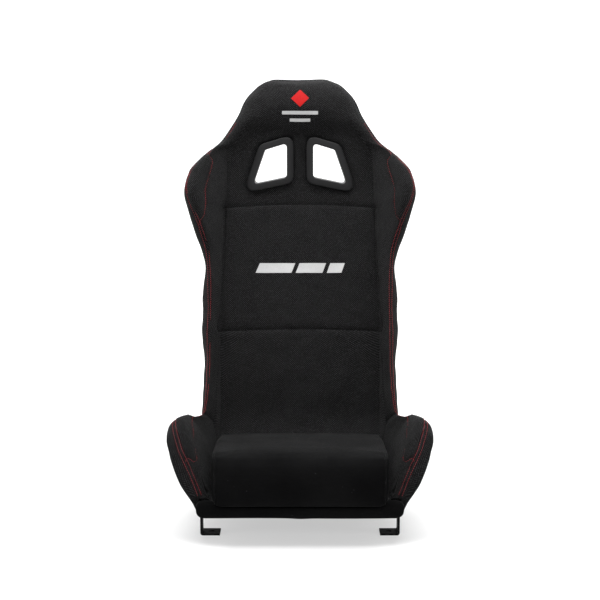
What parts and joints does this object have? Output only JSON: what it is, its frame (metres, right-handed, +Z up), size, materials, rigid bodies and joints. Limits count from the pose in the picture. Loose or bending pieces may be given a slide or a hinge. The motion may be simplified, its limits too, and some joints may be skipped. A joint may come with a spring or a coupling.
{
  "type": "racing seat",
  "caption": "Fixed-back bucket seat: tube frame, foam pads in black mesh fabric, shoulder and leg bolsters, harness slots, lift-out cushion and L-shaped side-mount brackets.",
  "frame": {"origin": "on the ground under the middle of the seat's bounding box", "axes": "+Z up, the sitter faces -Y, +X is the seat's left-to-right axis seen from the front"},
  "size_m": [0.552, 0.6, 0.9625],
  "materials": {
    "mesh_fabric": "open spacer-mesh polyester, dull",
    "cushion_fabric": "brushed velour, very dull",
    "frame_steel": "semi-gloss powder coat",
    "bracket_steel": "fine-textured powder coat",
    "plastic": "moulded, fine grain",
    "webbing": "woven polyester tape",
    "zinc": "black-zinc and zinc-plated fasteners",
    "red_thread": "muted red topstitch thread"
  },
  "bodies": {
    "seat": {"back_bolster_left": "mesh_fabric", "back_bolster_right": "mesh_fabric", "base_pad": "mesh_fabric", "chest_strap": "webbing", "frame_hoop": "frame_steel", "front_bezel_left": "plastic", "front_bezel_right": "plastic", "front_bolt_left": "zinc", "front_bolt_right": "zinc", "front_bracket_left": "bracket_steel", "front_bracket_right": "bracket_steel", "front_cross_tube": "frame_steel", "front_lip": "cushion_fabric", "front_washer_left": "zinc", "front_washer_right": "zinc", "front_weld_nut_left": "zinc", "front_weld_nut_right": "zinc", "head_cross_tube": "frame_steel", "head_pad": "mesh_fabric", "head_upright": "frame_steel", "hip_cross_tube": "frame_steel", "hip_strap": "webbing", "hook_strip_left": "webbing", "hook_strip_right": "webbing", "leg_bolster_left": "mesh_fabric", "leg_bolster_right": "mesh_fabric", "lower_back_pad": "mesh_fabric", "lumbar_cross_tube": "frame_steel", "lumbar_strap": "webbing", "rear_bezel_left": "plastic", "rear_bezel_right": "plastic", "rear_bolt_left": "zinc", "rear_bolt_right": "zinc", "rear_bracket_left": "bracket_steel", "rear_bracket_right": "bracket_steel", "rear_cover": "mesh_fabric", "rear_head_cover": "mesh_fabric", "rear_washer_left": "zinc", "rear_washer_right": "zinc", "rear_weld_nut_left": "zinc", "rear_weld_nut_right": "zinc", "seat_pan": "frame_steel", "shoulder_cross_tube": "frame_steel", "shoulder_strap": "webbing", "side_plate_left": "frame_steel", "side_plate_right": "frame_steel", "upper_back_pad": "mesh_fabric", "zip_slider": "zinc", "zip_tape": "webbing"},
    "cushion": {"seat_cushion": "cushion_fabric", "loop_strip_left": "webbing", "loop_strip_right": "webbing"}
  },
  "joints": [
    {"name": "cushion_lift", "type": "slide", "parent": "seat", "child": "cushion", "axis": [0, -0.4226, 0.9063], "range_m": [0, 0.2]}
  ]
}
